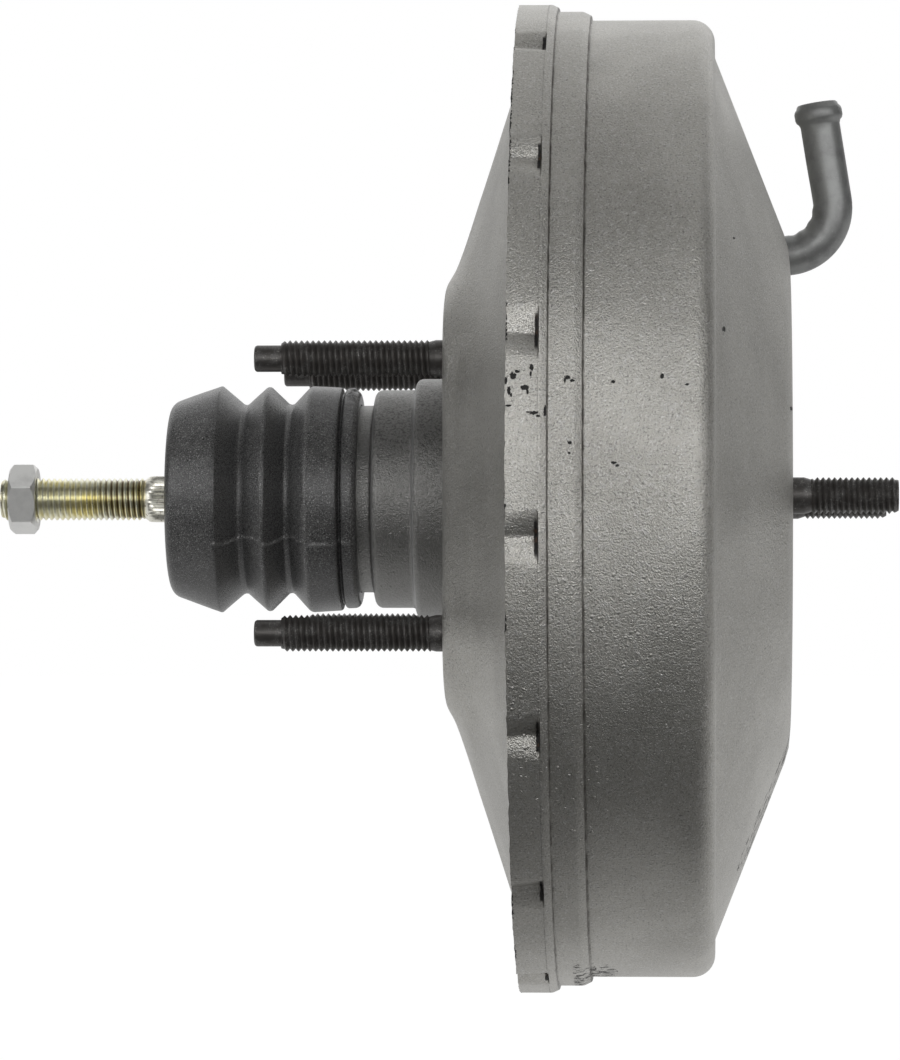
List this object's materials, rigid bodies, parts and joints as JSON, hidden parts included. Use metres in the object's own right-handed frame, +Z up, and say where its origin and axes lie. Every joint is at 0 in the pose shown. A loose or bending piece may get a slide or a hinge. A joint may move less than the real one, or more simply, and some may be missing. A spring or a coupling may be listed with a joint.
{
  "type": "vacuum brake booster",
  "caption": "Vacuum brake booster: crimped steel shells, mounting studs, bellows boot and threaded input rod, with a sprung piston, valve and diaphragm inside.",
  "frame": {"origin": "middle of the rear shell's flat mounting face, on the booster's axis", "axes": "+X along the booster's axis from the pedal side to the master cylinder side, +Z up, +Y across"},
  "size_m": [0.2013, 0.2222, 0.2222],
  "materials": {
    "shell_paint": "silver-grey paint over pressed steel, fine grain",
    "plate_steel": "pressed steel, satin",
    "black_steel": "black phosphate, oiled",
    "nipple_steel": "grey painted steel tube",
    "bearing_plastic": "moulded bearing plastic",
    "seal_rubber": "moulded rubber, matte",
    "diaphragm_rubber": "moulded fabric-free rubber, matte",
    "boot_rubber": "moulded rubber with light dust",
    "spring_steel": "drawn spring wire",
    "body_plastic": "moulded phenolic, satin",
    "zinc_plate": "zinc-plated pressing",
    "rod_steel": "turned steel",
    "filter_foam": "open-cell foam",
    "filter_felt": "pressed felt",
    "plunger_steel": "turned and ground steel",
    "yellow_zinc": "yellow passivated zinc",
    "nut_steel": "plain steel, lightly oxidised"
  },
  "bodies": {
    "housing": {"rear_shell": "shell_paint", "front_shell": "shell_paint", "rear_plate": "plate_steel", "front_plate": "plate_steel", "firewall_studs": "black_steel", "cylinder_studs": "black_steel", "vacuum_nipple": "nipple_steel", "neck_bush": "bearing_plastic", "rear_seal": "seal_rubber", "seal_retainer": "plate_steel", "front_seal": "seal_rubber", "front_seal_retainer": "plate_steel", "diaphragm": "diaphragm_rubber", "return_spring": "spring_steel", "boot": "boot_rubber"},
    "power_piston": {"valve_body": "body_plastic", "diaphragm_plate": "zinc_plate", "reaction_disc": "seal_rubber", "push_rod": "rod_steel", "push_rod_bolt": "rod_steel", "push_rod_retainer": "plate_steel", "stop_key": "plate_steel", "poppet": "seal_rubber", "poppet_retainer": "plate_steel", "poppet_spring": "spring_steel", "rod_spring": "spring_steel", "air_filter": "filter_foam", "silencer": "filter_felt", "filter_retainer": "bearing_plastic"},
    "valve_plunger": {"valve_plunger": "plunger_steel"},
    "input_rod": {"input_rod": "yellow_zinc"},
    "lock_nut": {"lock_nut": "nut_steel"}
  },
  "joints": [
    {"name": "piston_stroke", "type": "slide", "parent": "housing", "child": "power_piston", "axis": [1, 0, 0], "range_m": [0, 0.028], "stiffness_N_per_m": 6000, "springref_m": -0.025, "deforming": ["return_spring", "boot", "diaphragm"]},
    {"name": "valve_travel", "type": "slide", "parent": "power_piston", "child": "valve_plunger", "axis": [1, 0, 0], "range_m": [0, 0.002], "stiffness_N_per_m": 4000, "springref_m": -0.005, "deforming": ["rod_spring"]},
    {"name": "rod_swing", "type": "hinge", "parent": "valve_plunger", "child": "input_rod", "pos_m": [-0.008, 0, 0], "axis": [0, 1, 0], "range_deg": [-3, 3], "stiffness_Nm_per_rad": 5},
    {"name": "locknut_turn", "type": "hinge", "parent": "input_rod", "child": "lock_nut", "pos_m": [-0.0974, 0, 0], "axis": [1, 0, 0], "continuous": true}
  ]
}
